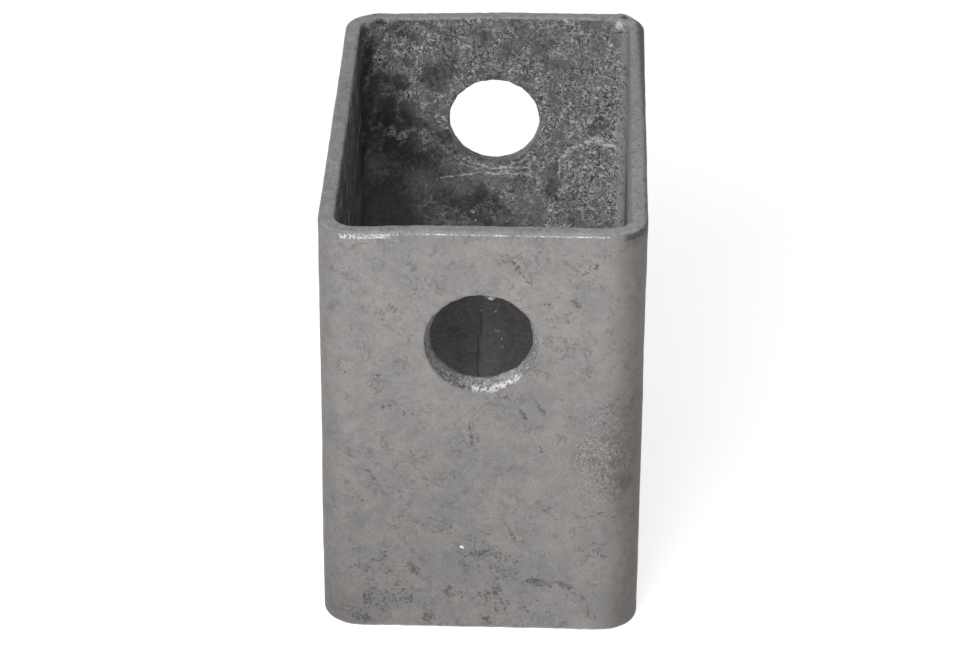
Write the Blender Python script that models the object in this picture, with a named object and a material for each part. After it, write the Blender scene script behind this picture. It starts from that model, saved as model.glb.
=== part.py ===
"""Post socket: a short length of galvanised rectangular steel tube.

Both ends are open. One bolt passes through a round hole near the top of the front wall and
through a matching hole in the back wall. The origin is on the ground, at the centre of the
socket's footprint. X is across the narrow side, Y runs from front to back and Z is up.
"""

import bpy
import bmesh
from math import cos, pi, radians, sin

MM = 0.001

# The tube
TUBE_WIDTH = 50.0 * MM          # along X
TUBE_DEPTH = 80.0 * MM          # along Y
TUBE_HEIGHT = 71.0 * MM         # along Z
WALL = 2.5 * MM
CORNER_RADIUS = 6.0 * MM        # outside corner; the inside one is smaller by the wall
EDGE_EASE = 0.4 * MM            # chamfer left on every sawn end edge
CORNER_STEPS = 10

# The weld seam inside the back wall, left standing when the tube was rolled and welded
SEAM_X = -2.0 * MM
SEAM_WIDTH = 1.6 * MM
SEAM_HEIGHT = 0.35 * MM
SEAM_STEPS = 4

# The bolt holes
HOLE_DIAMETER = 16.0 * MM
HOLE_BELOW_TOP = 19.0 * MM
HOLE_EASE = 0.6 * MM            # chamfer on the outer edge of each hole
HOLE_STEPS = 64
CUTTER_OVERRUN = 2.0 * MM       # how far a cutter runs past each face of its wall

GALVANISED_GREY = (0.47, 0.47, 0.455, 1.0)


def clear_scene():
    """Remove every object that is already in the file."""
    for old in list(bpy.data.objects):
        bpy.data.objects.remove(old, do_unlink=True)


def galvanised_steel():
    """Dull hot-dip zinc."""
    material = bpy.data.materials.new("galvanised_steel")
    material.use_nodes = True
    shader = material.node_tree.nodes["Principled BSDF"]
    shader.inputs["Base Color"].default_value = GALVANISED_GREY
    shader.inputs["Metallic"].default_value = 0.8
    shader.inputs["Roughness"].default_value = 0.5
    return material


def corner_stations():
    """The outline's arcs as (centre x, centre y, direction x, direction y)."""
    centre_x = TUBE_WIDTH / 2 - CORNER_RADIUS
    centre_y = TUBE_DEPTH / 2 - CORNER_RADIUS
    stations = []
    for side_x, side_y, start in ((1, 1, 0), (-1, 1, 90), (-1, -1, 180), (1, -1, 270)):
        for step in range(CORNER_STEPS + 1):
            angle = radians(start + 90 * step / CORNER_STEPS)
            stations.append((side_x * centre_x, side_y * centre_y, cos(angle), sin(angle)))
    return stations


def seam_stations():
    """Points across the weld seam, from +X to -X, as (x, height of the bead there)."""
    stations = []
    for step in range(SEAM_STEPS + 1):
        across = 1 - 2 * step / SEAM_STEPS
        height = SEAM_HEIGHT * cos(across * pi / 2)
        stations.append((SEAM_X + across * SEAM_WIDTH / 2, height))
    return stations


def outline(inset, seam_share):
    """The tube's outline, anticlockwise from +X, moved inwards by inset.

    seam_share is 1 where the outline carries the whole seam and 0 where it carries none.
    """
    radius = CORNER_RADIUS - inset
    corners = [(x + radius * dx, y + radius * dy) for x, y, dx, dy in corner_stations()]
    back_y = TUBE_DEPTH / 2 - inset
    seam = [(x, back_y - seam_share * height) for x, height in seam_stations()]
    after_first_corner = CORNER_STEPS + 1
    return corners[:after_first_corner] + seam + corners[after_first_corner:]


def wall_section():
    """The wall's cross-section as (inset, height, seam share), up outside and down inside."""
    inner = WALL
    top = TUBE_HEIGHT
    return [
        (EDGE_EASE, 0.0, 0.0),
        (0.0, EDGE_EASE, 0.0),
        (0.0, top - EDGE_EASE, 0.0),
        (EDGE_EASE, top, 0.0),
        (inner - EDGE_EASE, top, 0.0),
        (inner, top - EDGE_EASE, 1.0),
        (inner, EDGE_EASE, 1.0),
        (inner - EDGE_EASE, 0.0, 0.0),
    ]


def tube_mesh():
    """The tube before its bolt holes are cut: the wall's section swept round the outline."""
    mesh = bpy.data.meshes.new("post_socket_tube")
    bm = bmesh.new()
    rings = []
    for inset, height, seam_share in wall_section():
        rings.append([bm.verts.new((x, y, height)) for x, y in outline(inset, seam_share)])
    for ring, next_ring in zip(rings, rings[1:] + rings[:1]):
        for i in range(len(ring)):
            j = (i + 1) % len(ring)
            bm.faces.new((ring[i], ring[j], next_ring[j], next_ring[i]))
    bmesh.ops.recalc_face_normals(bm, faces=bm.faces)
    bm.to_mesh(mesh)
    bm.free()
    return mesh


def hole_profile():
    """Half of a hole cutter as (radius, distance outwards from the wall's outer face)."""
    radius = HOLE_DIAMETER / 2
    return [
        (radius, -WALL - CUTTER_OVERRUN),
        (radius, -HOLE_EASE),
        (radius + HOLE_EASE + CUTTER_OVERRUN, CUTTER_OVERRUN),
    ]


def hole_cutter(name, side):
    """A turned plug on the hole's axis; side is -1 for the front wall and +1 for the back."""
    mesh = bpy.data.meshes.new(name)
    bm = bmesh.new()
    rings = []
    for radius, outwards in hole_profile():
        ring = []
        for step in range(HOLE_STEPS):
            angle = 2 * pi * step / HOLE_STEPS
            y = side * (TUBE_DEPTH / 2 + outwards)
            ring.append(bm.verts.new((radius * cos(angle), y, radius * sin(angle))))
        rings.append(ring)
    for ring, next_ring in zip(rings, rings[1:]):
        for i in range(HOLE_STEPS):
            j = (i + 1) % HOLE_STEPS
            bm.faces.new((ring[i], ring[j], next_ring[j], next_ring[i]))
    bm.faces.new(rings[0])
    bm.faces.new(rings[-1])
    bmesh.ops.recalc_face_normals(bm, faces=bm.faces)
    bm.to_mesh(mesh)
    bm.free()
    cutter = bpy.data.objects.new(name, mesh)
    cutter.location = (0.0, 0.0, TUBE_HEIGHT - HOLE_BELOW_TOP)
    cutter.hide_render = True
    cutter.display_type = 'WIRE'
    bpy.context.collection.objects.link(cutter)
    return cutter


def build_tube():
    """The socket itself, with a Boolean for each bolt hole."""
    mesh = tube_mesh()
    mesh.materials.append(galvanised_steel())
    tube = bpy.data.objects.new("post_socket_tube", mesh)
    bpy.context.collection.objects.link(tube)
    for name, side in (("front_hole_cutter", -1), ("back_hole_cutter", 1)):
        cut = tube.modifiers.new(name, 'BOOLEAN')
        cut.operation = 'DIFFERENCE'
        cut.solver = 'EXACT'
        cut.object = hole_cutter(name, side)
    mesh.shade_smooth()
    mesh.set_sharp_from_angle(angle=radians(30))
    return tube


clear_scene()
build_tube()
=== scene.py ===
"""Looks of the galvanised post socket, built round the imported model.

The tube is remade as one fine closed mesh with the unevenness of hot-dip zinc, and given one
procedural zinc material. Lengths are in metres, and MM turns millimetres into them.
"""

from math import cos, hypot, pi, radians, sin

import bmesh
import bpy
import numpy as np
from mathutils import Matrix, Vector, noise


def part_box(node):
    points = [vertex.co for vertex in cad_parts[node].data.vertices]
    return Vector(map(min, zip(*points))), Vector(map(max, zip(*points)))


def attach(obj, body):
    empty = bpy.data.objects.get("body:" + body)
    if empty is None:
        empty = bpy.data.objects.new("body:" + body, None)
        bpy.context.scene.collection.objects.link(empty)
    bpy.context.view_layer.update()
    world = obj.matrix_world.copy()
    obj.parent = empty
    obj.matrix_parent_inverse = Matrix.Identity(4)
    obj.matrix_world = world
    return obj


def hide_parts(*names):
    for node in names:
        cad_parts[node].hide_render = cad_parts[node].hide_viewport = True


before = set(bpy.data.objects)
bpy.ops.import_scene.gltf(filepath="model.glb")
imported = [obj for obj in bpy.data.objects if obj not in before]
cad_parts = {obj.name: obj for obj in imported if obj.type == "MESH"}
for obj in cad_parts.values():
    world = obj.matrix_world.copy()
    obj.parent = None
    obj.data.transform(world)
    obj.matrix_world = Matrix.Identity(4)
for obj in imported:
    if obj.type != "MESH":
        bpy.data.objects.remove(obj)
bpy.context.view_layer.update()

MM = 0.001
NODE = "post_socket_tube"

# The tube's shape, from its CAD box and its section
LOW, HIGH = (Vector(corner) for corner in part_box(NODE))
WIDTH, DEPTH, HEIGHT = HIGH - LOW
WALL = 2.5 * MM
CORNER_RADIUS = 6.0 * MM
HOLE_RADIUS = 7.85 * MM         # drilled 16 mm across, less the zinc in it
HOLE_HEIGHT = HEIGHT - 19.0 * MM
OUTER_EDGE = 0.55 * MM          # rounding of the sawn ends, outside and inside
INNER_EDGE = 0.45 * MM
HOLE_OUTER_EDGE = 0.40 * MM     # rounding where a hole meets the outside and the inside
HOLE_INNER_EDGE = 0.30 * MM
FRONT_TAPER = 0.75 * MM         # zinc narrows the front hole this much from outside to inside
BACK_SHRINK = 0.13 * MM         # the back hole is straight, but this much smaller
BACK_FACE = DEPTH / 2 - WALL    # where the inside of the back wall lies

# The same places in millimetres, for single marks and for the shader
TOP = HEIGHT / MM
HOLE_MIDDLE = HOLE_HEIGHT / MM
BACK = BACK_FACE / MM           # y of the back wall's inside
FRONT = -DEPTH / 2 / MM         # y of the front wall's outside
SEAM = -2.05                    # x of the weld seam inside the back wall

# The mesh's fineness
FINE_STEP = 0.5 * MM            # across the front and back walls, and up the tube
COARSE_STEP = 1.3 * MM          # along the two deep sides
CORNER_STEPS = 14
EDGE_STEPS = 5
HOLE_FRAME = 16.0 * MM          # half-size of the square in which the mesh bends round a hole


# ---------------------------------------------------------------- the tube's mesh


def steps(start, end, spacing):
    """Evenly spaced values from start towards end, which is left to the next stretch."""
    count = max(1, round(abs(end - start) / spacing))
    return [start + (end - start) * i / count for i in range(count)]


def stretches(marks, spacing):
    """Evenly spaced values between each neighbouring pair of marks."""
    values = []
    for start, end in zip(marks, marks[1:]):
        values += steps(start, end, spacing)
    return values


def smooth(low, high, value):
    """0 at low and 1 at high, with an eased slope between; low may be the larger."""
    share = np.clip((value - low) / (high - low), 0.0, 1.0)
    return share * share * (3 - 2 * share)


def perimeter():
    """Stations round the tube, anticlockwise, as rows of (x, y, normal x, normal y).

    x, y lie on the line through the corners' centres, so a face of the wall is at
    x, y plus (CORNER_RADIUS - inset) times the normal.
    """
    half_x = WIDTH / 2 - CORNER_RADIUS
    half_y = DEPTH / 2 - CORNER_RADIUS
    across = stretches([-half_x, -HOLE_RADIUS, HOLE_RADIUS, half_x], FINE_STEP)
    along = steps(-half_y, half_y, COARSE_STEP)
    turns = [pi / 2 * step / CORNER_STEPS for step in range(CORNER_STEPS)]
    stations = [(half_x, y, 1.0, 0.0) for y in along]
    stations += [(half_x, half_y, cos(turn), sin(turn)) for turn in turns]
    stations += [(-x, half_y, 0.0, 1.0) for x in across]
    stations += [(-half_x, half_y, -sin(turn), cos(turn)) for turn in turns]
    stations += [(-half_x, -y, -1.0, 0.0) for y in along]
    stations += [(-half_x, -half_y, -cos(turn), -sin(turn)) for turn in turns]
    stations += [(x, -half_y, 0.0, -1.0) for x in across]
    stations += [(half_x, -half_y, sin(turn), -cos(turn)) for turn in turns]
    return stations


def quarter_round(radius):
    """Inner points of a quarter circle that rounds a square edge, as (inset, drop)."""
    turns = [pi / 2 * i / EDGE_STEPS for i in range(1, EDGE_STEPS)]
    return [(radius * (1 - cos(turn)), radius * (1 - sin(turn))) for turn in turns]


def end_profile():
    """Across a sawn end from outside to inside, as (inset, distance from the end)."""
    flat = steps(OUTER_EDGE, WALL - INNER_EDGE, FINE_STEP) + [WALL - INNER_EDGE]
    profile = quarter_round(OUTER_EDGE)
    profile += [(inset, 0.0) for inset in flat]
    profile += [(WALL - inset, drop) for inset, drop in quarter_round(INNER_EDGE)[::-1]]
    return profile


def section():
    """The wall's section as a closed loop of (inset, height, skin): up, over, down, under.

    skin is 1 on the outside face, -1 on the inside face and 0 on the sawn ends.
    """
    marks = [HOLE_HEIGHT - HOLE_RADIUS, HOLE_HEIGHT + HOLE_RADIUS]
    outer_top = HEIGHT - OUTER_EDGE
    outer = stretches([OUTER_EDGE, *marks, outer_top], FINE_STEP) + [outer_top]
    inner_top = HEIGHT - INNER_EDGE
    inner = stretches([inner_top, *marks[::-1], INNER_EDGE], FINE_STEP) + [INNER_EDGE]
    loop = [(0.0, height, 1) for height in outer]
    loop += [(inset, HEIGHT - drop, 0) for inset, drop in end_profile()]
    loop += [(WALL, height, -1) for height in inner]
    loop += [(inset, drop, 0) for inset, drop in end_profile()[::-1]]
    return loop


def bend_round_hole(x, z, face_radius):
    """Moves a grid point so that the square of half-size HOLE_RADIUS becomes the hole's rim."""
    up = z - HOLE_HEIGHT
    square = max(abs(x), abs(up))
    if not HOLE_RADIUS / 2 < square < HOLE_FRAME:
        return x, z
    share = max(0.0, (square - HOLE_RADIUS) / (HOLE_FRAME - HOLE_RADIUS))
    radius = face_radius + share * (HOLE_FRAME - face_radius)
    to_circle = radius / hypot(x, up)
    to_square = radius / square
    scale = to_circle + (to_square - to_circle) * float(smooth(0.0, 1.0, share))
    return x * scale, HOLE_HEIGHT + up * scale


def hole_size(side):
    """A bolt hole's inner radius, and how much wider it is outside; side is -1 at the front."""
    return (HOLE_RADIUS, FRONT_TAPER) if side < 0 else (HOLE_RADIUS - BACK_SHRINK, 0.0)


def bore_profile(side):
    """Down a hole from outside to inside, as (radius, depth), between its two rims."""
    radius, taper = hole_size(side)
    outer = quarter_round(HOLE_OUTER_EDGE)
    profile = [(radius + taper + drop, inset) for inset, drop in outer]
    inner_end = WALL - HOLE_INNER_EDGE
    for depth in steps(HOLE_OUTER_EDGE, inner_end, FINE_STEP / 2) + [inner_end]:
        left = (inner_end - depth) / (inner_end - HOLE_OUTER_EDGE)
        profile.append((radius + taper * left ** 1.3, depth))
    inner = quarter_round(HOLE_INNER_EDGE)[::-1]
    profile += [(radius + drop, WALL - inset) for inset, drop in inner]
    return profile


def in_hole(value, centre):
    return abs(value - centre) < HOLE_RADIUS + FINE_STEP / 10


def square_ring(rows, stations):
    """Grid places round a square, as (row, station): along, up, back and down."""
    ring = [(rows[0], station) for station in stations[:-1]]
    ring += [(row, stations[-1]) for row in rows[:-1]]
    ring += [(rows[-1], station) for station in stations[:0:-1]]
    ring += [(row, stations[0]) for row in rows[:0:-1]]
    return ring


class TubeSkin:
    """Collects the tube's vertices, its faces and which part of the tube each vertex is on."""

    def __init__(self):
        self.points = []
        self.zones = []             # (inside, end, bore), each from 0 to 1
        self.faces = []
        self.places = {}            # (row, station) to vertex
        self.section = section()
        self.stations = perimeter()

    def vertex(self, point, zone):
        self.points.append(point)
        self.zones.append(zone)
        return len(self.points) - 1

    def grid_vertex(self, row, station):
        """The vertex at a grid place, made when it is first asked for."""
        if (row, station) in self.places:
            return self.places[row, station]
        inset, z, skin = self.section[row]
        x, y, normal_x, normal_y = self.stations[station]
        if skin and abs(normal_y) == 1.0:
            radius, taper = hole_size(normal_y)
            edge = HOLE_OUTER_EDGE + taper if skin > 0 else HOLE_INNER_EDGE
            x, z = bend_round_hole(x, z, radius + edge)
        reach = CORNER_RADIUS - inset
        inside = float(smooth(WALL - INNER_EDGE, WALL, inset))
        end = 0.0 if skin else 1.0 - min(z, HEIGHT - z) / OUTER_EDGE
        point = (x + reach * normal_x, y + reach * normal_y, z)
        self.places[row, station] = self.vertex(point, (inside, end, 0.0))
        return self.places[row, station]

    def add_walls_and_ends(self):
        """The section swept round the tube, with a square left open for each bolt hole."""
        row_open = [bool(skin) and in_hole(z, HOLE_HEIGHT) for _, z, skin in self.section]
        station_open = [abs(ny) == 1.0 and in_hole(x, 0.0) for x, _, _, ny in self.stations]
        for row in range(len(self.section)):
            above = (row + 1) % len(self.section)
            for station in range(len(self.stations)):
                beside = (station + 1) % len(self.stations)
                rows_open = row_open[row] and row_open[above]
                if rows_open and station_open[station] and station_open[beside]:
                    continue
                corners = ((row, station), (row, beside), (above, beside), (above, station))
                self.faces.append([self.grid_vertex(*corner) for corner in corners])

    def rim_of_hole(self, side, skin):
        """The vertices round a bolt hole's rim, in the same order on both faces of the wall."""
        rows = [i for i, (_, z, s) in enumerate(self.section)
                if s == skin and in_hole(z, HOLE_HEIGHT)]
        stations = [i for i, (x, _, _, ny) in enumerate(self.stations)
                    if ny == side and in_hole(x, 0.0)]
        rows.sort(key=lambda i: self.section[i][1])
        stations.sort(key=lambda i: self.stations[i][0])
        return [self.grid_vertex(*place) for place in square_ring(rows, stations)]

    def add_bore(self, side):
        """The wall of one bolt hole; side is -1 at the front and +1 at the back."""
        rings = [self.rim_of_hole(side, 1)]
        rim_points = [self.points[i] for i in rings[0]]
        for radius, depth in bore_profile(side):
            ring = []
            for x, _, z in rim_points:
                scale = radius / hypot(x, z - HOLE_HEIGHT)
                point = (x * scale, side * (DEPTH / 2 - depth),
                         HOLE_HEIGHT + (z - HOLE_HEIGHT) * scale)
                bore = float(smooth(0.0, HOLE_OUTER_EDGE, depth))
                inside = float(smooth(WALL - HOLE_INNER_EDGE, WALL, depth))
                ring.append(self.vertex(point, (inside, 0.0, bore)))
            rings.append(ring)
        rings.append(self.rim_of_hole(side, -1))
        for ring, deeper in zip(rings, rings[1:]):
            for i in range(len(ring)):
                j = (i + 1) % len(ring)
                self.faces.append([ring[i], ring[j], deeper[j], deeper[i]])


# ---------------------------------------------------------------- the zinc's relief


def waves(points, wavelength, seed, octaves=1):
    """Perlin noise from about -1 to 1 at each point, with the given wavelength."""
    scaled = points / wavelength + seed * 17.31
    if octaves == 1:
        return np.array([noise.noise(Vector(p)) for p in scaled])
    return np.array([noise.fractal(Vector(p), 1.0, 2.0, octaves) for p in scaled])


def lump(points, centre, radius):
    """A soft bump of height 1 at centre, down to 0 at radius."""
    away = np.linalg.norm(points - np.array(centre), axis=1)
    return smooth(radius, 0.0, away)


def relief(points, inside, end, bore):
    """How far the zinc stands out of the plain tube at each point, in metres."""
    outside = (1 - inside) * (1 - end) * (1 - bore)
    height = 0.07 * MM * waves(points, 17 * MM, 1)
    height += 0.030 * MM * waves(points, 4.5 * MM, 2) * (0.5 + outside)
    height += 0.018 * MM * waves(points, 1.4 * MM, 3, 2)
    height += inside * 0.045 * MM * waves(points, 1.7 * MM, 4, 3)
    height += end * 0.05 * MM * waves(points, 1.6 * MM, 5, 2)
    height += end * 0.08 * MM * waves(points, 1.1 * MM, 7)
    height += bore * 0.15 * MM * waves(points, 1.3 * MM, 6, 2)
    return height


# Zinc that ran together and set in lumps, at the top corners inside the back wall and at the
# top of the front hole, in millimetres: (centre, radius, height of the lump)
RUN_LUMPS = (
    ((20.8, 36.7, TOP - 0.7), 1.5, 1.0),
    ((18.5, 37.2, TOP - 1.3), 0.9, 0.45),
    ((21.4, 38.6, TOP), 2.4, 0.35),
    ((-20.8, 36.8, TOP - 0.9), 1.4, 0.60),
    ((-17.3, 37.5, TOP - 0.7), 1.2, 0.55),
    ((0.6, FRONT + 1.5, HOLE_MIDDLE + 8.0), 0.8, 0.35),
    ((1.2, FRONT + 1.5, HOLE_MIDDLE + 7.9), 0.8, 0.50),
    ((1.7, FRONT + 1.4, HOLE_MIDDLE + 7.8), 0.7, 0.65),
)


def run_lumps(points):
    """How far the lumps of run zinc stand out at each point, in metres."""
    height = np.zeros(len(points))
    for centre, radius, tall in RUN_LUMPS:
        height += tall * MM * lump(points, [c * MM for c in centre], radius * MM)
    return height


def weld_seam(points, inside):
    """The flattened bead inside the back wall, with the notch down its left side."""
    jog = 0.6 * MM * smooth(11 * MM, 9 * MM, points[:, 2])
    seam_x = SEAM * MM - jog + 0.15 * MM * waves(points * np.array([0, 0, 1]), 4 * MM, 8)
    at_back = inside * (points[:, 1] > BACK_FACE - 1 * MM)
    across = points[:, 0] - seam_x
    bead = smooth(2.6 * MM, 1.0 * MM, np.abs(across - 1.6 * MM))
    notch = smooth(0.6 * MM, 0.0, np.abs(across))
    return at_back * (0.12 * MM * bead - 0.10 * MM * notch)


def bore_sag(points):
    """How far run zinc lifts the front bolt hole's lower edge and drops its top, in metres."""
    up = points[:, 2] - HOLE_HEIGHT
    radius = np.hypot(points[:, 0], up)
    low = smooth(0.25, 0.85, -up / np.maximum(radius, MM))
    near_rim = smooth(HOLE_RADIUS + 1.8 * MM, HOLE_RADIUS, radius)
    deep_in = smooth(-DEPTH / 2 + 0.3 * MM, -DEPTH / 2 + WALL, points[:, 1])
    uneven = 0.85 + 0.3 * waves(points, 3.5 * MM, 9)
    high = smooth(0.25, 0.85, up / np.maximum(radius, MM))
    near_top = smooth(HOLE_RADIUS + 3.0 * MM, HOLE_RADIUS + 1.0 * MM, radius)
    lift = 0.75 * MM * low * near_rim * deep_in * uneven - 0.35 * MM * high * near_top
    return lift * (points[:, 1] < 0)


def top_lift(points):
    """How far the top end stands above square: low at the left, high at the back right."""
    x, y, z = points.T
    to_back = smooth(0.0, DEPTH / 2, y)
    low = 0.46 * MM * smooth(-6 * MM, -22 * MM, x) * (1 - 0.6 * to_back)
    high = 0.46 * MM * smooth(-16 * MM, 2 * MM, x) * to_back
    return (high - low) * smooth(HEIGHT - 9 * MM, HEIGHT, z)


# ---------------------------------------------------------------- where the marks are

# Scuffs and pits on the outside of the front wall, in millimetres:
# (x, height, half length, half width, lean in degrees from level)
FRONT_SCUFFS = (
    (5.2, 65.4, 1.6, 0.40, -55),
    (6.8, 63.2, 1.4, 0.25, -50),
    (14.4, 59.2, 1.0, 0.55, -60),
    (10.1, 58.9, 0.7, 0.35, -35),
    (-13.4, 57.8, 0.8, 0.50, -60),
    (-15.8, 46.0, 0.9, 0.30, -5),
    (6.3, 40.0, 1.8, 0.35, -60),
    (9.4, 40.4, 1.2, 0.35, -50),
    (-1.4, 35.2, 2.4, 0.30, -80),
    (-8.6, 31.6, 1.1, 0.40, 75),
    (-16.9, 28.2, 1.8, 0.35, -55),
    (5.2, 17.4, 1.3, 0.35, -65),
    (18.8, 22.0, 0.7, 0.35, 0),
    (-0.2, 14.2, 1.9, 0.70, 10),
    (-10.4, 11.0, 1.9, 0.60, -50),
    (2.6, 7.2, 0.9, 0.80, 20),
    (9.2, 8.9, 2.1, 0.80, -12),
    (13.4, 8.4, 1.6, 0.60, -20),
    (-17.7, 5.2, 1.2, 0.70, -70),
    (-17.9, 1.6, 0.8, 0.70, 0),
    (-19.6, 1.8, 0.7, 0.60, 0),
    (-11.0, 5.4, 1.1, 0.60, 80),
    (-8.1, 1.6, 0.9, 0.90, 0),
    (-5.2, 7.2, 0.9, 0.60, 60),
    (1.1, 6.4, 1.1, 0.60, 80),
    (1.4, 1.6, 0.9, 0.90, 0),
)

# Where crystals crowd together (or, below 0, stay away) inside the back wall, in millimetres:
# (x, height, radius, how much)
CRYSTAL_CLUSTERS = (
    (-13.6, 50.5, 3.2, 0.22),
    (-12.0, 46.5, 3.2, 0.22),
    (-17.5, 63.5, 4.5, 0.12),
    (-4.5, 63.5, 5.0, 0.14),
    (19.5, 60.0, 5.5, 0.10),
    (17.5, 42.5, 8.0, 0.16),
    (17.0, 53.0, 7.0, 0.10),
    (-3.0, 35.0, 5.0, 0.06),
    (18.0, 50.0, 12.0, 0.05),
    (-17.5, 42.0, 8.0, -0.26),
)

# Bare dark patches among the crystals, in millimetres:
# (x, height, half length, half width, lean in degrees from level)
BARE_PATCHES = (
    (-9.3, 60.8, 4.2, 2.0, 18),
    (10.9, 41.6, 4.6, 1.2, 78),
    (17.6, 51.5, 2.0, 1.0, 60),
    (-8.5, 49.2, 2.6, 0.9, 10),
)

MARK_DEPTH = 2.0                # how far a mark reaches off its wall's face, in millimetres
NO_MARK = 9.0                   # the distance where no mark is near


def moved_about(points, wavelength, amount, seed):
    """The points, each pushed by up to amount in a direction that changes from place to place."""
    shifts = [waves(points, wavelength, seed + axis, 2) for axis in range(3)]
    return points + amount * np.stack(shifts, axis=1)


def nearest_mark(points, marks, face):
    """Distance to the nearest mark on the face at y = face millimetres, in its half sizes."""
    nearest = np.full(len(points), NO_MARK)
    for x, height, half_length, half_width, lean in marks:
        right, out, up = (points / MM - (x, face, height)).T
        turn = radians(lean)
        along = (right * cos(turn) + up * sin(turn)) / half_length
        across = (up * cos(turn) - right * sin(turn)) / half_width
        off_face = out / MARK_DEPTH
        nearest = np.minimum(nearest, np.sqrt(along ** 2 + across ** 2 + off_face ** 2))
    return nearest


def crowding(points):
    """How much more the crystals crowd together at each point than they would by chance."""
    total = np.zeros(len(points))
    bent = moved_about(points, 3.5 * MM, 3 * MM, 10)
    for x, height, radius, amount in CRYSTAL_CLUSTERS:
        centre = np.array((x, BACK, height)) * MM
        away = np.linalg.norm(bent - centre, axis=1)
        total += amount * smooth(1.1 * radius * MM, 0.2 * radius * MM, away)
    return total


# ---------------------------------------------------------------- the tube


def build_tube():
    """The visible tube: a closed mesh, raised by the zinc's relief, with its zones as attributes."""
    skin = TubeSkin()
    skin.add_walls_and_ends()
    skin.add_bore(-1)
    skin.add_bore(1)
    mesh = bpy.data.meshes.new("galvanised_socket")
    mesh.from_pydata(skin.points, [], skin.faces)
    bm = bmesh.new()
    bm.from_mesh(mesh)
    bmesh.ops.recalc_face_normals(bm, faces=bm.faces)
    bm.to_mesh(mesh)
    bm.free()

    points = np.array(skin.points)
    inside, end, bore = np.array(skin.zones).T
    normals = np.array([vertex.normal for vertex in mesh.vertices])
    height = relief(points, inside, end, bore)
    height += run_lumps(points)
    height += weld_seam(points, inside)
    raised = points + normals * height[:, None]
    raised[:, 2] += bore_sag(points) + top_lift(points)
    mesh.vertices.foreach_set("co", raised.ravel())
    torn = moved_about(points, 2.4 * MM, 1.5 * MM, 20)
    fields = {
        "inside": inside,
        "end": end,
        "bore": bore,
        "below_top": (HEIGHT - points[:, 2]) / MM,
        "scuffs": nearest_mark(points, FRONT_SCUFFS, FRONT),
        "bare": nearest_mark(torn, BARE_PATCHES, BACK),
        "crowding": crowding(points),
    }
    for name, values in fields.items():
        attribute = mesh.attributes.new(name, 'FLOAT', 'POINT')
        attribute.data.foreach_set("value", values.astype(np.float32))
    mesh.shade_smooth()
    mesh.update()
    tube = bpy.data.objects.new("galvanised_socket", mesh)
    bpy.context.collection.objects.link(tube)
    return tube


# ---------------------------------------------------------------- materials

SEED_STEP = 3.7                 # how far apart two noises lie in the fourth dimension
MIX_FIRST, MIX_SECOND, MIX_RESULT = 6, 7, 2     # the colour sockets of a Mix node


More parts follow.
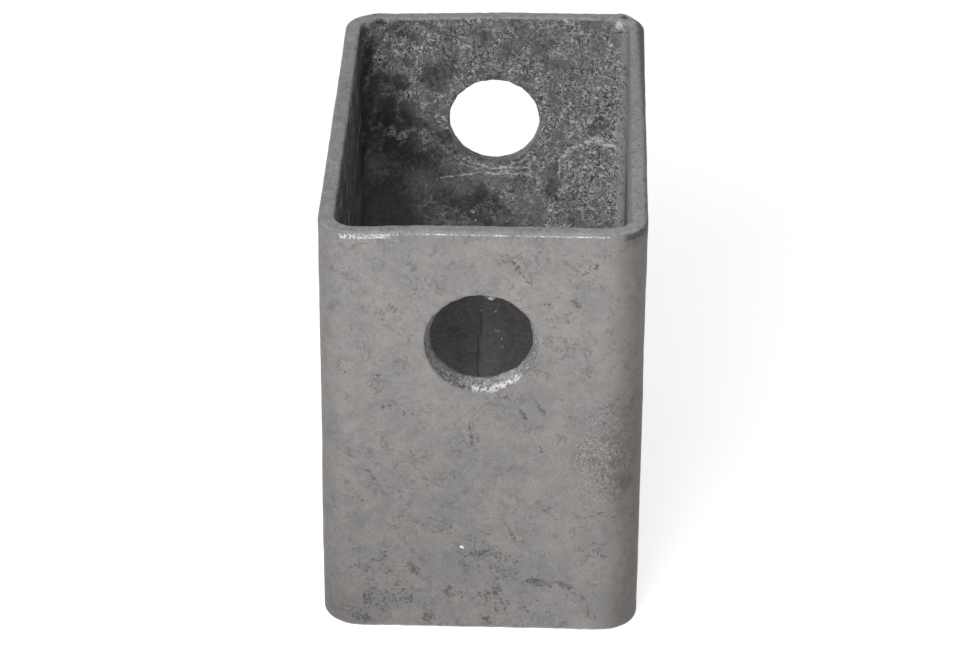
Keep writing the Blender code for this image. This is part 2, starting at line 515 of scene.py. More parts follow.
class Shader:
    """Short names for the shader nodes that a material is mixed from."""

    def __init__(self, name):
        self.material = bpy.data.materials.new(name)
        self.material.use_nodes = True
        self.nodes = self.material.node_tree.nodes
        self.links = self.material.node_tree.links
        self.principled = self.nodes["Principled BSDF"]

    def put(self, socket, value):
        """Links an output socket to this one, or sets it to a plain number or colour."""
        if isinstance(value, bpy.types.NodeSocket):
            self.links.new(value, socket)
        elif socket.type == 'RGBA':
            socket.default_value = (*value, 1.0)
        else:
            socket.default_value = value

    def place(self):
        """The surface's place on the object, in millimetres."""
        coordinates = self.nodes.new("ShaderNodeTexCoord")
        scale = self.nodes.new("ShaderNodeVectorMath")
        scale.operation = 'SCALE'
        self.put(scale.inputs[0], coordinates.outputs["Object"])
        self.put(scale.inputs["Scale"], 1 / MM)
        return scale.outputs[0]

    def stretch(self, place, factors):
        """The place with each axis scaled, so that a noise is drawn out along one."""
        node = self.nodes.new("ShaderNodeVectorMath")
        node.operation = 'MULTIPLY'
        self.put(node.inputs[0], place)
        self.put(node.inputs[1], factors)
        return node.outputs[0]

    def axes(self, place):
        node = self.nodes.new("ShaderNodeSeparateXYZ")
        self.put(node.inputs[0], place)
        return node.outputs

    def attribute(self, name):
        node = self.nodes.new("ShaderNodeAttribute")
        node.attribute_name = name
        return node.outputs["Fac"]

    def noise_node(self, place, wavelength, seed, detail, roughness):
        node = self.nodes.new("ShaderNodeTexNoise")
        node.noise_dimensions = '4D'
        self.put(node.inputs["Vector"], place)
        self.put(node.inputs["W"], seed * SEED_STEP)
        self.put(node.inputs["Scale"], 1 / wavelength)
        self.put(node.inputs["Detail"], detail)
        self.put(node.inputs["Roughness"], roughness)
        return node

    def noise(self, place, wavelength, seed, detail=2.0, roughness=0.5, distortion=0.0):
        """Noise from 0 to 1 with the given wavelength in millimetres."""
        node = self.noise_node(place, wavelength, seed, detail, roughness)
        self.put(node.inputs["Distortion"], distortion)
        return node.outputs["Fac"]

    def wobble(self, place, wavelength, amount, seed, detail=2.0, roughness=0.5):
        """The place pushed about by up to half of amount in millimetres, for ragged outlines."""
        node = self.noise_node(place, wavelength, seed, detail, roughness)
        shift = self.nodes.new("ShaderNodeVectorMath")
        shift.operation = 'SUBTRACT'
        self.put(shift.inputs[0], node.outputs["Color"])
        self.put(shift.inputs[1], (0.5, 0.5, 0.5))
        moved = self.nodes.new("ShaderNodeVectorMath")
        moved.operation = 'MULTIPLY_ADD'
        self.put(moved.inputs[0], shift.outputs[0])
        self.put(moved.inputs[1], (amount, amount, amount))
        self.put(moved.inputs[2], place)
        return moved.outputs[0]

    def distance(self, place, centre):
        node = self.nodes.new("ShaderNodeVectorMath")
        node.operation = 'DISTANCE'
        self.put(node.inputs[0], place)
        self.put(node.inputs[1], centre)
        return node.outputs["Value"]

    def spindle(self, place, centre, half_sizes, lean):
        """Distance from centre in units of the half sizes, of a shape leaning in the XZ plane."""
        node = self.nodes.new("ShaderNodeMapping")
        node.vector_type = 'TEXTURE'
        self.put(node.inputs["Vector"], place)
        self.put(node.inputs["Location"], centre)
        self.put(node.inputs["Rotation"], (0.0, -radians(lean), 0.0))
        self.put(node.inputs["Scale"], half_sizes)
        length = self.nodes.new("ShaderNodeVectorMath")
        length.operation = 'LENGTH'
        self.put(length.inputs[0], node.outputs[0])
        return length.outputs["Value"]

    def near(self, place, centre, inner, outer):
        """1 within inner millimetres of centre, down to 0 at outer."""
        return self.slope(self.distance(place, centre), inner, outer, 1.0, 0.0)

    def specks(self, place, spacing, size, rarity):
        """Dots of the given radius, one in some of the cells that are spacing across."""
        node = self.nodes.new("ShaderNodeTexVoronoi")
        self.put(node.inputs["Vector"], place)
        self.put(node.inputs["Scale"], 1 / spacing)
        cell = self.nodes.new("ShaderNodeSeparateColor")
        self.put(cell.inputs[0], node.outputs["Color"])
        chosen = self.slope(cell.outputs[0], rarity, rarity + 0.02)
        dots = self.slope(node.outputs["Distance"], size / spacing * 0.5, size / spacing, 1.0, 0.0)
        return self.times(chosen, dots)

    def math(self, operation, *values):
        node = self.nodes.new("ShaderNodeMath")
        node.operation = operation
        for socket, value in zip(node.inputs, values):
            self.put(socket, value)
        return node.outputs[0]

    def times(self, *values):
        product = values[0]
        for value in values[1:]:
            product = self.math('MULTIPLY', product, value)
        return product

    def plus(self, *values):
        total = values[0]
        for value in values[1:]:
            total = self.math('ADD', total, value)
        return total

    def slope(self, value, low, high, start=0.0, end=1.0):
        """start where value is at or below low, end at or above high, eased between."""
        node = self.nodes.new("ShaderNodeMapRange")
        node.interpolation_type = 'SMOOTHSTEP'
        names = ("Value", "From Min", "From Max", "To Min", "To Max")
        for name, number in zip(names, (value, low, high, start, end)):
            self.put(node.inputs[name], number)
        return node.outputs["Result"]

    def line(self, value, centre, width):
        """1 where value is near centre, down to 0 a width away."""
        away = self.math('ABSOLUTE', self.plus(value, -centre))
        return self.slope(away, 0.4 * width, width, 1.0, 0.0)

    def mix(self, share, first, second):
        """From the first colour at share 0 to the second at share 1."""
        node = self.nodes.new("ShaderNodeMix")
        node.data_type = 'RGBA'
        self.put(node.inputs["Factor"], share)
        self.put(node.inputs[MIX_FIRST], first)
        self.put(node.inputs[MIX_SECOND], second)
        return node.outputs[MIX_RESULT]

    def dim(self, colour, brightness):
        """The colour times a brightness, which may be above 1."""
        node = self.nodes.new("ShaderNodeMix")
        node.data_type = 'RGBA'
        node.clamp_factor = False
        self.put(node.inputs["Factor"], brightness)
        self.put(node.inputs[MIX_FIRST], (0.0, 0.0, 0.0))
        self.put(node.inputs[MIX_SECOND], colour)
        return node.outputs[MIX_RESULT]

    def bump(self, height, depth, normal=None):
        """Relief of the given depth in metres for a height from 0 to 1."""
        node = self.nodes.new("ShaderNodeBump")
        self.put(node.inputs["Height"], height)
        self.put(node.inputs["Distance"], depth)
        if normal is not None:
            self.put(node.inputs["Normal"], normal)
        return node.outputs["Normal"]


# Colours, as linear red, green and blue
WARM_ZINC = (0.262, 0.248, 0.240)
COOL_ZINC = (0.247, 0.240, 0.237)
DARK_ZINC_AND_SHADE = (0.070, 0.063, 0.058)
EDGE_BROWN_AND_SHADE = (0.120, 0.107, 0.100)
GRAIN_DARK = (0.125, 0.117, 0.111)
GRAIN_LIGHT = (0.310, 0.297, 0.288)
RIM_ZINC = (0.395, 0.391, 0.395)
BORE_ZINC = (0.215, 0.217, 0.225)
INNER_DARK = (0.042, 0.042, 0.045)
INNER_MID = (0.235, 0.236, 0.249)
INNER_LIGHT = (0.700, 0.700, 0.715)
INNER_WARM = (0.108, 0.102, 0.098)
PAINTED_LIGHT_WALL_GREY = (0.450, 0.450, 0.460)
RIDGE_ZINC = (0.88, 0.86, 0.84)
# Pale zinc, also the colour of painted glints and highlights.
BRIGHT_ZINC_AND_GLINT = (0.90, 0.87, 0.84)
CREAM_ZINC_AND_HIGHLIGHT = (0.74, 0.68, 0.63)
PAINTED_HIGHLIGHT_WHITE = (0.98, 0.96, 0.93)
RUST = (0.24, 0.10, 0.05)
PAPER = (0.60, 0.60, 0.60)
PAPER_GLOW = 0.76               # emission strength

# Bright flecks inside the back wall, in millimetres: (x, height, radius)
INNER_FLECKS = (
    (-3.6, 34.6, 0.45),
    (-3.2, 32.9, 0.35),
    (1.2, 37.6, 0.40),
    (19.5, 66.6, 0.55),
    (4.2, 45.3, 0.40),
    (5.9, 45.6, 0.45),
    (8.5, 44.2, 0.35),
    (0.5, 14.9, 0.24),
    (-2.1, 15.2, 0.18),
    (0.5, 11.2, 0.22),
    (1.0, 11.1, 0.24),
    (1.6, 9.5, 0.24),
    (1.7, 7.8, 0.20),
)

# Small lumps and pits, in millimetres: (centre, solid radius, outer radius, strength, colour)
ODD_SPOTS = (
    # The cream and white spots at the back right corner are a painted highlight on the lump there.
    ((20.5, 36.3, TOP - 0.3), 0.6, 1.5, 0.80, CREAM_ZINC_AND_HIGHLIGHT),
    ((20.8, 36.1, TOP - 0.3), 0.4, 1.0, 1.00, PAINTED_HIGHLIGHT_WHITE),
    ((18.5, 37.0, TOP - 0.9), 0.2, 0.5, 0.60, CREAM_ZINC_AND_HIGHLIGHT),
    ((21.6, 37.6, TOP + 0.4), 0.4, 1.0, 0.95, DARK_ZINC_AND_SHADE),
    ((19.2, 37.0, TOP - 1.7), 0.3, 0.8, 0.80, DARK_ZINC_AND_SHADE),
    ((-19.4, 37.4, TOP - 0.7), 0.4, 0.9, 0.85, DARK_ZINC_AND_SHADE),
    ((-18.3, 37.3, TOP - 0.4), 0.1, 0.5, 0.60, CREAM_ZINC_AND_HIGHLIGHT),
    ((1.5, FRONT + 1.5, HOLE_MIDDLE + 7.0), 0.4, 0.9, 0.80, CREAM_ZINC_AND_HIGHLIGHT),
    ((1.0, FRONT + 1.4, HOLE_MIDDLE + 7.2), 0.1, 0.4, 0.70, DARK_ZINC_AND_SHADE),
)

# Thin ridges of run zinc inside the back wall, in millimetres:
# (left end, right end, height at x = 0, rise to the right, droop at the right end)
DRIP_LINES = (
    (-10.0, -1.5, 42.6, 0.16, 0.0),
    (-2.2, 8.8, 42.0, 0.06, 1.8),
    (-3.0, 6.5, 43.1, 0.05, 0.0),
)


def outer_marks(s, place, z):
    """Lichen-shaped dark pits in clusters, denser near the foot, and faint hairline cracks."""
    ragged = s.noise(place, 0.55, 7, detail=5, roughness=0.75, distortion=0.4)
    near_foot = s.slope(z, 3.0, 22.0, 0.06, 0.0)
    crowd = s.plus(s.noise(place, 4.0, 6, detail=3), near_foot)
    lift = s.slope(crowd, 0.50, 0.72, 0.0, 0.10)
    lift = s.math('MAXIMUM', lift, s.slope(s.attribute("scuffs"), 0.2, 2.0, 0.20, 0.0))
    depth = s.slope(s.noise(place, 0.26, 33, detail=2, roughness=0.6), 0.40, 0.60, 0.25, 0.85)
    pits = s.times(s.slope(s.plus(ragged, lift), 0.61, 0.70), depth)
    vein = s.noise(place, 3.6, 4, detail=5, roughness=0.65, distortion=0.5)
    broken = s.slope(s.noise(place, 2.6, 5, detail=3), 0.47, 0.62)
    cracks = s.times(s.line(vein, 0.5, 0.022), broken, 0.36)
    return s.math('MAXIMUM', pits, cracks)


def outer_colour(s, place):
    """Warm grey, faintly clouded, with dark pits, one granular patch, painted shade low down and
    at the corners, a browner right edge that is partly painted shade, and one painted glint.

    Returns the colour and how deep the marks are.
    """
    x, y, z = s.axes(place)
    cloud = s.noise(place, 6.0, 1, detail=4, roughness=0.6)
    mottle = s.noise(place, 1.7, 2, detail=6, roughness=0.72, distortion=0.3)
    grain = s.noise(place, 0.28, 3, detail=2, roughness=0.6)
    colour = s.mix(s.slope(cloud, 0.35, 0.65), COOL_ZINC, WARM_ZINC)
    # Painted shade: darker towards the foot and at the front's left corner.
    lower = s.slope(z, 6.0, 66.0, 0.86, 1.03)
    front = s.slope(y, -26.0, -34.0)
    left = s.plus(1.0, s.times(front, s.slope(x, -20.5, -25.0, 0.0, -0.12)))
    light = s.plus(0.705, s.slope(mottle, 0.30, 0.68, 0.0, 0.22),
                   s.slope(cloud, 0.3, 0.7, 0.0, 0.11))
    light = s.plus(light, s.slope(grain, 0.28, 0.72, 0.0, 0.20))
    # Painted shade at the lower left and painted light at the lower right.
    light = s.plus(light, s.times(s.slope(z, 46.0, 14.0), s.slope(x, -12.0, 16.0, -0.035, 0.07)))
    # Painted shade at the foot's corners.
    sides = s.plus(s.slope(x, -13.0, -20.0), s.slope(x, 17.0, 23.0))
    foot = s.plus(1.0, s.times(s.slope(z, 13.0, 1.0), sides, -0.22))
    colour = s.dim(colour, s.times(light, lower, left, foot))

    bent = s.wobble(place, 5.0, 9.0, 9, detail=5, roughness=0.6)
    rough_spot = s.near(bent, (24.8, -38.0, 32.0), 4.0, 15.0)
    grains = s.noise(place, 0.36, 10, detail=3, roughness=0.65)
    few = s.slope(s.plus(x, s.times(mottle, 8.0)), 20.0, 28.0, 0.0, 0.06)
    grain_light = s.slope(s.plus(grains, s.times(few, -1.0)), 0.42, 0.58)
    speckle = s.mix(grain_light, GRAIN_DARK, GRAIN_LIGHT)
    rough_spot = s.times(0.85, rough_spot, s.slope(mottle, 0.34, 0.50, 0.25, 1.0))
    colour = s.mix(rough_spot, colour, speckle)
    # The right edge is partly stained brown and partly darkened with painted shade, more so low
    # down.
    edge = s.plus(x, s.times(mottle, 13.0), s.times(grain, 7.0))
    edge = s.times(s.slope(edge, 28.5, 35.5, 0.0, 0.78), s.slope(z, 50.0, 38.0, 1.0, 1.22))
    colour = s.mix(s.times(edge, front), colour, EDGE_BROWN_AND_SHADE)
    blotch = s.near(s.wobble(place, 1.0, 2.4, 42), (23.0, -39.2, 27.2), 0.6, 2.4)
    colour = s.mix(s.times(blotch, s.slope(grain, 0.35, 0.6, 0.75, 0.4)), colour, DARK_ZINC_AND_SHADE)

    marks = outer_marks(s, place, z)
    colour = s.mix(marks, colour, DARK_ZINC_AND_SHADE)
    # A painted glint on the front wall.
    glint = s.near(s.wobble(place, 0.35, 0.9, 12), (-2.8, FRONT, 15.3), 0.15, 0.40)
    return s.mix(glint, colour, BRIGHT_ZINC_AND_GLINT), marks


def drip_line(s, place, start, end, height, rise, droop):
    """One thin ridge of zinc, bent down by droop at its right end."""
    x, _, z = s.axes(s.wobble(place, 2.0, 1.0, 17))
    above = s.plus(z, -height, s.times(x, -rise), s.slope(x, end - 4.0, end, 0.0, droop))
    window = s.times(s.slope(x, start, start + 1.5), s.slope(x, end - 1.0, end, 1.0, 0.0))
    return s.times(s.line(above, 0.0, 0.22), window)


def inner_ridges(s, place, fine):
    """The drip lines, the streaks below the back hole and the arc to their right."""
    _, y, z = s.axes(place)
    ridges = 0.0
    for line in DRIP_LINES:
        ridges = s.math('MAXIMUM', ridges, drip_line(s, place, *line))
    from_hole = s.distance(s.wobble(place, 1.8, 1.2, 18), (0.0, BACK, HOLE_MIDDLE))
    streaks = s.math('MAXIMUM', s.line(from_hole, 8.8, 0.34), s.line(from_hole, 9.7, 0.22))
    streaks = s.times(streaks, s.slope(z, 43.5, 46.0, 1.0, 0.0))
    ridges = s.math('MAXIMUM', ridges, streaks)
    ridges = s.times(ridges, s.slope(fine, 0.40, 0.54, 0.25, 1.0))

    bent = s.wobble(place, 2.5, 2.6, 16)
    bent_x, _, bent_z = s.axes(bent)
    arc = s.line(s.distance(bent, (17.5, BACK, 42.5)), 6.3, 0.42)
    arc = s.times(arc, s.slope(s.plus(bent_z, s.times(bent_x, -1.0)), 29.0, 32.0))
    swoosh = s.spindle(bent, (19.3, BACK, 48.0), (2.6, 3.0, 0.5), -14.0)
    arc = s.math('MAXIMUM', arc, s.slope(swoosh, 0.5, 1.3, 1.0, 0.0))
    arc = s.times(arc, s.slope(fine, 0.40, 0.52, 0.22, 0.90))
    return s.times(s.math('MAXIMUM', ridges, arc), s.slope(y, BACK - 1.5, BACK - 0.5))


def low_colour(s, place, x, fine, speck):
    """The smooth brown-grey low down inside, lighter right of the seam and smudged left of it."""
    seam_side = s.plus(s.slope(x, -7.0, -2.0, 0.76, 0.94), s.slope(x, -2.6, -1.4, 0.0, 0.32))
    cloudy = s.wobble(place, 1.8, 3.0, 39)
    streak = s.spindle(cloudy, (-6.0, BACK, 7.0), (0.7, 3.0, 3.5), 0.0)
    streak = s.slope(streak, 0.2, 1.2, 1.0, 0.0)
    cloud = s.spindle(cloudy, (-6.4, BACK, 10.6), (3.2, 3.0, 1.6), 0.0)
    cloud = s.slope(cloud, 0.2, 1.3, 1.0, 0.0)
    smudge = s.times(s.math('MAXIMUM', streak, cloud), s.slope(fine, 0.36, 0.60, -0.42, -0.16))
    uneven = s.plus(0.38, s.times(0.80, speck), s.slope(fine, 0.38, 0.62, 0.0, 0.34))
    return s.dim(INNER_WARM, s.times(seam_side, uneven, s.plus(1.0, smudge)))


def crystal_crowd(s, place, crusted, fine, speck):
    """How closely the crystals crowd together, and how bare and dark the torn patches are."""
    crowd = s.plus(s.noise(place, 2.6, 15, detail=4, roughness=0.6), s.times(0.16, crusted))
    crowd = s.plus(crowd, s.attribute("crowding"))
    bare = s.plus(s.attribute("bare"), s.times(fine, 2.0), s.times(speck, 0.6))
    bare = s.slope(bare, 1.9, 2.7, 1.0, 0.0)
    return s.plus(crowd, s.times(bare, -0.22)), bare


def inner_shading(s, x, z, bare, fine):
    """A brightness, below 1 at the left under a painted shadow of the left wall, below the drip
    lines and in the bare patches.
    """
    # Painted shadow of the left wall.
    left_side = s.times(s.slope(x, -9.0, -16.0), s.slope(z, 42.0, 48.0), -0.44)
    below_ridges = s.times(s.slope(z, 42.0, 38.5), s.slope(x, -4.0, 0.0),
                           s.slope(x, 18.0, 12.0), -0.24)
    darker = s.times(bare, s.slope(fine, 0.38, 0.56, -0.50, -0.12))
    return s.plus(1.0, left_side, below_ridges, darker)


def painted_right_wall_light(s, y, z, fine):
    """How much light is painted on the right wall's inside: most towards the front, with
    painted shade low down.
    """
    light = s.plus(0.60, s.times(0.8, fine), s.slope(y, 20.0, -25.0, 0.0, 0.50))
    deep = s.times(s.slope(z, 58.0, 44.0), s.slope(y, 34.0, 28.0))
    return s.times(light, s.plus(1.0, s.times(deep, -0.75)))


def add_seam(s, place, colour, x, z, on_back, patch, fine):
    """The dark line down the back wall's weld seam, and the paler bead to its right."""
    jag = s.plus(s.times(s.noise(place, 2.6, 19), 0.8), s.times(s.noise(place, 0.6, 25), 0.6))
    mean_jag = 0.7
    past_seam = s.plus(x, -SEAM - mean_jag, jag, s.slope(z, 11.0, 9.0, 0.0, 0.6))
    seam = s.times(s.line(past_seam, 0.0, 0.24), on_back, s.slope(z, 11.0, 17.0, 0.9, 0.15))
    seam = s.times(seam, s.slope(fine, 0.38, 0.50, 0.35, 1.0), s.slope(z, 30.0, 24.0))
    colour = s.mix(seam, colour, INNER_DARK)
    bead = s.times(s.slope(past_seam, 0.0, 0.8), s.slope(x, 3.0, -1.0),
                   s.slope(patch, 0.35, 0.62, 0.3, 1.0))
    return s.mix(s.times(bead, s.slope(z, 26.0, 18.0), on_back, 0.26), colour, INNER_MID)


def bright_flecks(s, place, z, crowd, speck):
    """Scattered flecks among the crystals, and the larger single ones."""
    flecks = s.times(s.specks(place, 1.1, 0.18, 0.88), s.slope(crowd, 0.54, 0.70))
    ragged_place = s.wobble(place, 0.5, 0.6, 26)
    for x, height, radius in INNER_FLECKS:
        fleck = s.near(ragged_place, (x, BACK, height), 0.5 * radius, radius)
        flecks = s.math('MAXIMUM', flecks, fleck)
    return s.times(flecks, s.slope(speck, 0.38, 0.58, 0.15, 0.75), s.slope(z, 18.0, 26.0, 0.6, 1.0))


def inner_colour(s, place):
    """Dark blue-grey with pale worm-like crystals above and to the right, smooth brown-grey below.

    Returns the colour and the height of the crystals and ridges.
    """
    x, y, z = s.axes(place)
    on_back = s.slope(y, BACK - 1.5, BACK - 0.5)
    patch = s.noise(place, 5.5, 11, detail=4, roughness=0.6)
    fine = s.noise(place, 0.75, 12, detail=6, roughness=0.75, distortion=0.5)
    speck = s.noise(place, 0.32, 20, detail=2, roughness=0.6)
    slanted = s.plus(z, s.times(x, 1.4), s.times(patch, 24.0))
    crusted = s.slope(slanted, 40.0, 58.0)
    low_down = s.plus(z, s.times(patch, 6.0), s.slope(x, -17.0, -5.0, -11.0, 0.0))
    low_down = s.slope(low_down, 35.0, 26.0)
    tone = s.plus(s.times(0.85, patch), s.times(0.9, fine), s.times(0.34, speck),
                  s.times(0.12, crusted))
    colour = s.mix(s.slope(tone, 0.85, 1.35), INNER_DARK, INNER_MID)
    colour = s.mix(low_down, colour, low_colour(s, place, x, fine, speck))

    curl = s.noise(place, 1.5, 13, detail=1.2, distortion=1.1)
    worms = s.math('MAXIMUM', s.line(curl, 0.43, 0.050), s.line(curl, 0.585, 0.050))
    small = s.line(s.noise(place, 0.65, 14, detail=2.0, distortion=1.1), 0.5, 0.075)
    crowd, bare = crystal_crowd(s, place, crusted, fine, speck)
    colour = s.dim(colour, inner_shading(s, x, z, bare, fine))
    above = s.math('SUBTRACT', 1.0, low_down)
    where = s.times(s.slope(crowd, 0.58, 0.74), above)
    scattered = s.times(s.slope(crowd, 0.48, 0.64, 0.0, 0.55), above)
    # Painted shade in the gaps beside the crystals.
    painted_gap_shade = s.times(s.line(curl, 0.507, 0.040), where)
    crystals = s.math('MAXIMUM', s.times(worms, where), s.times(small, scattered))
    crystals = s.times(crystals, s.slope(fine, 0.38, 0.52, 0.30, 1.0))
    ridges = inner_ridges(s, place, fine)
    right_wall = s.slope(s.plus(x, s.times(fine, 1.2)), 21.2, 22.2)
    light = painted_right_wall_light(s, y, z, fine)
    # Painted light on the right wall's inside.
    colour = s.mix(s.times(right_wall, 0.92), colour, s.dim(PAINTED_LIGHT_WALL_GREY, light))
    crystals = s.times(crystals, s.plus(1.0, s.times(right_wall, -0.5)))
    colour = s.mix(s.times(painted_gap_shade, 0.70), colour, INNER_DARK)
    colour = s.mix(s.times(crystals, 0.95), colour, INNER_LIGHT)
    colour = s.mix(s.times(ridges, s.slope(speck, 0.40, 0.60, 0.55, 1.0)), colour, RIDGE_ZINC)

    colour = add_seam(s, place, colour, x, z, on_back, patch, fine)
    colour = s.mix(bright_flecks(s, place, z, crowd, speck), colour, BRIGHT_ZINC_AND_GLINT)
    stains = s.specks(s.wobble(place, 0.6, 0.4, 27), 4.2, 0.35, 0.93)
    return s.mix(s.times(stains, 0.8), colour, RUST), s.math('MAXIMUM', crystals, ridges)


def rim_colour(s, place):
    """Smooth sawn-and-dipped end with a brown outer edge on the right, painted light towards
    the right and the back, and painted shade on the rounding of its front edge.

    Returns the colour and the share of painted glints along its crusty front edge.
    """
    x, y, _ = s.axes(place)
    soft = s.noise(place, 1.4, 21, detail=5, roughness=0.65)
    grain = s.noise(place, 0.30, 28, detail=3, roughness=0.7)
    light = s.plus(0.66, s.slope(soft, 0.30, 0.70, 0.0, 0.38), s.slope(grain, 0.3, 0.7, 0.0, 0.42))
    # Painted light: a little lighter towards the right and towards the back.
    light = s.plus(light, s.slope(x, -24.0, 24.0, 0.0, 0.08), s.slope(y, 10.0, 38.0, 0.0, 0.12))
    colour = s.dim(RIM_ZINC, light)
    towards_back = s.slope(y, -10.0, 38.0, 0.0, 0.9)
    edge = s.plus(x, s.times(soft, 2.4), s.times(grain, 1.2), towards_back)
    colour = s.mix(s.slope(edge, 26.0, 27.0, 0.0, 0.8), colour, EDGE_BROWN_AND_SHADE)
    pits = s.slope(s.noise(place, 0.8, 29, detail=5, roughness=0.75), 0.57, 0.65)
    colour = s.mix(s.times(pits, 0.65), colour, DARK_ZINC_AND_SHADE)
    fleck = s.slope(s.noise(place, 0.32, 22, detail=3, roughness=0.7), 0.46, 0.58)
    thick = s.noise(s.stretch(place, (1.0, 0.1, 0.1)), 2.4, 23, detail=2)
    left_run = s.slope(x, -13.2, -14.6)
    below_top = s.attribute("below_top")
    thin_line = s.times(s.line(below_top, 0.42, 0.15), s.slope(x, 20.0, 18.5))
    crust = s.times(s.line(below_top, 0.68, 0.52), left_run, s.slope(x, -23.0, -21.0), 0.85)
    thick = s.math('MAXIMUM', s.slope(thick, 0.36, 0.52, 0.30, 1.0), s.line(x, 15.5, 6.0))
    # Painted glints along the crusty front edge.
    edge_glints = s.math('MAXIMUM', s.times(thin_line, thick), crust)
    at_front = s.slope(y, FRONT + 0.7, FRONT + 0.3)
    # Painted shade on the rounding of the front edge.
    shade = s.times(s.line(below_top, 0.30, 0.27), s.slope(y, FRONT + 1.6, FRONT + 1.0), -0.40)
    colour = s.dim(colour, s.plus(1.0, shade))
    back_edge = s.times(s.line(y, BACK + 0.25, 0.26), fleck, s.slope(x, 16.5, 14.5), 0.45)
    return s.mix(back_edge, colour, BRIGHT_ZINC_AND_GLINT), s.times(edge_glints, fleck, at_front)


def add_odd_details(s, place, colour):
    """Lumps with painted highlights and pits at the top corners, the crack and painted shade under
    the front right rim, and a pale drip.
    """
    x, y, z = s.axes(place)
    ragged_place = s.wobble(place, 0.7, 1.1, 30, detail=4, roughness=0.65)
    grit = s.slope(s.noise(place, 0.55, 44, detail=4, roughness=0.7), 0.36, 0.50, 0.15, 1.0)
    for centre, inner, outer, share, tint in ODD_SPOTS:
        spot = s.times(s.near(ragged_place, centre, inner, outer), grit)
        colour = s.mix(s.times(spot, share), colour, tint)
    ragged = s.noise(place, 0.7, 8, detail=4, roughness=0.7)
    crack = s.line(s.plus(z, s.times(ragged, 1.6)), TOP - 0.1, 0.85)
    # Painted shade below the rim in the front right corner, beside the crack.
    shade = s.times(s.slope(z, TOP - 4.0, TOP - 1.0), s.slope(ragged, 0.35, 0.60, 0.1, 0.5))
    corner = s.times(s.slope(x, 21.0, 22.2), s.slope(y, -31.0, -36.0),
                     s.slope(z, TOP, TOP - 0.3))
    return s.mix(s.times(s.math('MAXIMUM', crack, shade), corner, 0.95), colour, DARK_ZINC_AND_SHADE)


def bore_colour(s, place):
    """The wall of a bolt hole: granular, with painted light towards the right and painted highlights
    on its foot.

    Returns the colour and the share of painted highlights.
    """
    x, y, z = s.axes(place)
    glitter = s.noise(place, 0.40, 24, detail=3, roughness=0.7)
    arcs = s.noise(s.stretch(place, (1.0, 3.0, 1.0)), 1.5, 43, detail=4, roughness=0.65)
    bottom = s.slope(z, HOLE_MIDDLE - 4.5, HOLE_MIDDLE - 7.0)
    # Where painted highlights lie on the foot.
    foot_highlight = s.times(bottom, s.slope(x, -2.6, -0.4), s.slope(x, 7.4, 5.6))
    inner_half = s.slope(y, FRONT + 1.1, FRONT + 1.7)
    left_end = s.slope(x, -1.0, -3.5)
    # Painted light: lighter towards the right and on the foot.
    lit = s.plus(0.88, s.times(0.16, bottom), s.slope(x, 1.5, 7.0, 0.0, 0.70))
    lit = s.plus(lit, s.times(left_end, bottom, -0.14), s.times(inner_half, bottom, -0.06))
    grainy = s.slope(glitter, 0.36, 0.64, -0.50, 0.50)
    grainy = s.times(grainy, s.slope(y, FRONT + 1.8, FRONT + 1.1, 0.35, 1.0))
    tone = s.times(s.slope(arcs, 0.34, 0.66, 0.70, 1.35), s.plus(1.0, grainy), lit)
    colour = s.dim(BORE_ZINC, s.times(tone, s.plus(1.0, s.times(0.30, foot_highlight))))

    # Painted highlights in chunks and sparkles on the foot.
    highlight_chunks = s.slope(s.noise(place, 0.9, 35, detail=3, roughness=0.7), 0.46, 0.54)
    highlight_chunks = s.times(highlight_chunks, foot_highlight, s.slope(y, FRONT + 1.3, FRONT + 0.9),
                     s.slope(glitter, 0.38, 0.50, 0.2, 1.0))
    sparkles = s.times(s.slope(glitter, 0.56, 0.62), bottom, s.slope(x, 4.0, 6.0, 0.35, 0.70))
    return colour, s.math('MAXIMUM', highlight_chunks, sparkles)


def galvanised_zinc():
    """One material for the whole tube: its colour and gloss change with the zone."""
    s = Shader("galvanised_zinc")
    place = s.place()
    inside = s.attribute("inside")
    end = s.attribute("end")
    bore = s.attribute("bore")

    outer, marks = outer_colour(s, place)
    inner, crystals = inner_colour(s, place)
    rim, edge_glints = rim_colour(s, place)
    drilled, flecks = bore_colour(s, place)
    colour = s.mix(inside, outer, inner)
    colour = s.mix(end, colour, rim)
    colour = s.mix(s.times(bore, 0.9), colour, drilled)
    # Painted highlights: glints along the rim's front edge and on the bolt holes' foot.
    painted_highlights = s.math('MAXIMUM', s.times(edge_glints, 0.75), s.times(bore, flecks))
    colour = s.mix(painted_highlights, colour, BRIGHT_ZINC_AND_GLINT)
    colour = add_odd_details(s, place, colour)

    s.put(s.principled.inputs["Base Color"], colour)
    s.put(s.principled.inputs["Metallic"], s.plus(0.40, s.times(painted_highlights, -0.25)))
    gloss = s.plus(0.52, s.times(0.20, s.noise(place, 1.8, 31, detail=3)))
    s.put(s.principled.inputs["Roughness"], s.plus(gloss, s.times(painted_highlights, -0.30)))
    grain = s.noise(place, 0.45, 32, detail=5, roughness=0.75)
    rise = s.plus(0.06 * MM, s.times(inside, 0.10 * MM), s.times(bore, 0.20 * MM))
    normal = s.bump(grain, rise)
    normal = s.bump(marks, -0.08 * MM, normal)
    normal = s.bump(s.times(crystals, inside), 0.20 * MM, normal)
    s.put(s.principled.inputs["Normal"], normal)
    return s.material


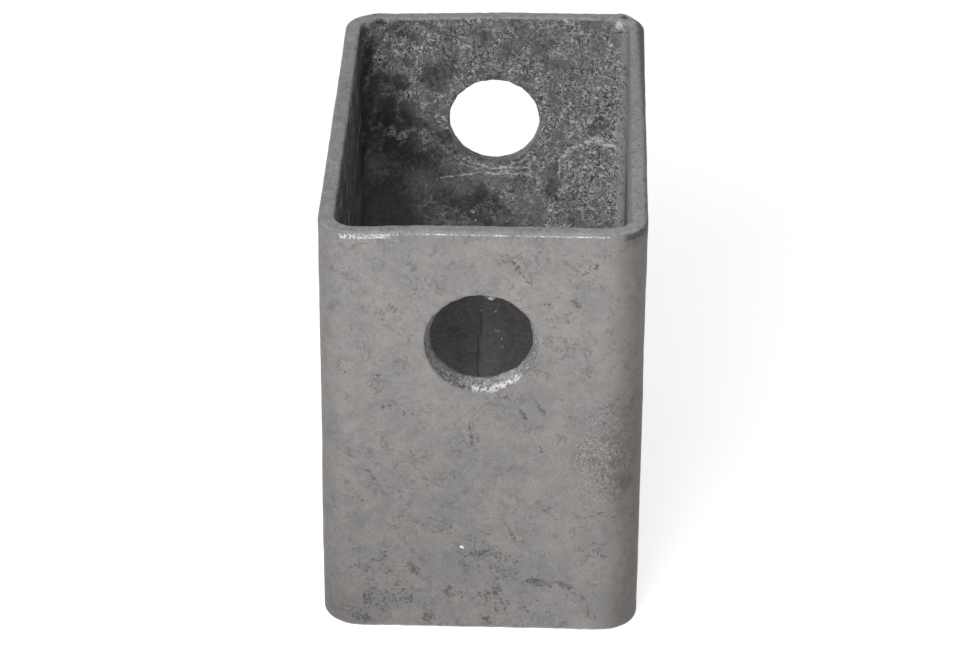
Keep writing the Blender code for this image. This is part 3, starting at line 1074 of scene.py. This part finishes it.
def pale_floor_material():
    """Matt near-white paper with a faint grain, glowing a little so that it stays pale."""
    s = Shader("pale_floor")
    grain = s.noise(s.place(), 40.0, 41, detail=4)
    paper = s.dim(PAPER, s.plus(0.985, s.times(0.03, grain)))
    s.put(s.principled.inputs["Base Color"], paper)
    s.put(s.principled.inputs["Roughness"], 0.9)
    s.put(s.principled.inputs["Emission Color"], (1.0, 1.0, 1.0))
    s.put(s.principled.inputs["Emission Strength"], PAPER_GLOW)
    return s.material


# ---------------------------------------------------------------- the studio

# The camera looks slightly down at the front wall from nearly straight ahead
CAMERA_AIM = Vector((-0.35, 0.0, 33.5)) * MM
CAMERA_DISTANCE = 603.0 * MM
CAMERA_AZIMUTH = 1.44           # degrees to the right of straight ahead
CAMERA_ELEVATION = 29.0
CAMERA_ROLL = 0.41
CAMERA_LENS = 136.1             # on a 36 mm wide sensor

# The soft key light stands in front, to the left and above
KEY_DIRECTION = Vector((-0.30, -1.0, 0.85))
KEY_DISTANCE = 0.55
KEY_SIZE = 0.30
KEY_POWER = 2.1
SKY_STRENGTH = 0.26
FLOOR_SIZE = 6.0


def add_camera():
    """A long lens, so that the tube's sides draw together only a little."""
    data = bpy.data.cameras.new("camera")
    data.sensor_width = 36.0
    data.lens = CAMERA_LENS
    data.clip_start = 0.01
    data.clip_end = 20.0
    camera = bpy.data.objects.new("camera", data)
    azimuth = radians(CAMERA_AZIMUTH)
    elevation = radians(CAMERA_ELEVATION)
    back = Vector((sin(azimuth) * cos(elevation), -cos(azimuth) * cos(elevation), sin(elevation)))
    facing = (-back).to_track_quat('-Z', 'Y').to_matrix().to_4x4()
    roll = Matrix.Rotation(radians(CAMERA_ROLL), 4, 'Z')
    camera.matrix_world = Matrix.Translation(CAMERA_AIM + back * CAMERA_DISTANCE) @ facing @ roll
    bpy.context.collection.objects.link(camera)
    bpy.context.scene.camera = camera


def add_key_light():
    data = bpy.data.lights.new("key", 'AREA')
    data.shape = 'DISK'
    data.size = KEY_SIZE
    data.energy = KEY_POWER
    key = bpy.data.objects.new("key", data)
    direction = KEY_DIRECTION.normalized()
    target = Vector((0.0, 0.0, HEIGHT / 2))
    key.location = target + direction * KEY_DISTANCE
    key.rotation_mode = 'QUATERNION'
    key.rotation_quaternion = (-direction).to_track_quat('-Z', 'Y')
    bpy.context.collection.objects.link(key)


def add_sky():
    world = bpy.data.worlds.new("soft_white")
    world.use_nodes = True
    background = world.node_tree.nodes["Background"]
    background.inputs["Color"].default_value = (1.0, 1.0, 1.0, 1.0)
    background.inputs["Strength"].default_value = SKY_STRENGTH
    bpy.context.scene.world = world


def add_floor():
    mesh = bpy.data.meshes.new("floor")
    bm = bmesh.new()
    bmesh.ops.create_grid(bm, x_segments=8, y_segments=8, size=FLOOR_SIZE / 2)
    bm.to_mesh(mesh)
    bm.free()
    mesh.materials.append(pale_floor_material())
    floor = bpy.data.objects.new("floor", mesh)
    floor.location.z = LOW.z - 0.1 * MM
    bpy.context.collection.objects.link(floor)


tube = build_tube()
tube.data.materials.append(galvanised_zinc())
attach(tube, "root")
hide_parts(NODE)

add_floor()
add_sky()
add_key_light()
add_camera()
bpy.context.scene.view_settings.view_transform = 'Standard'
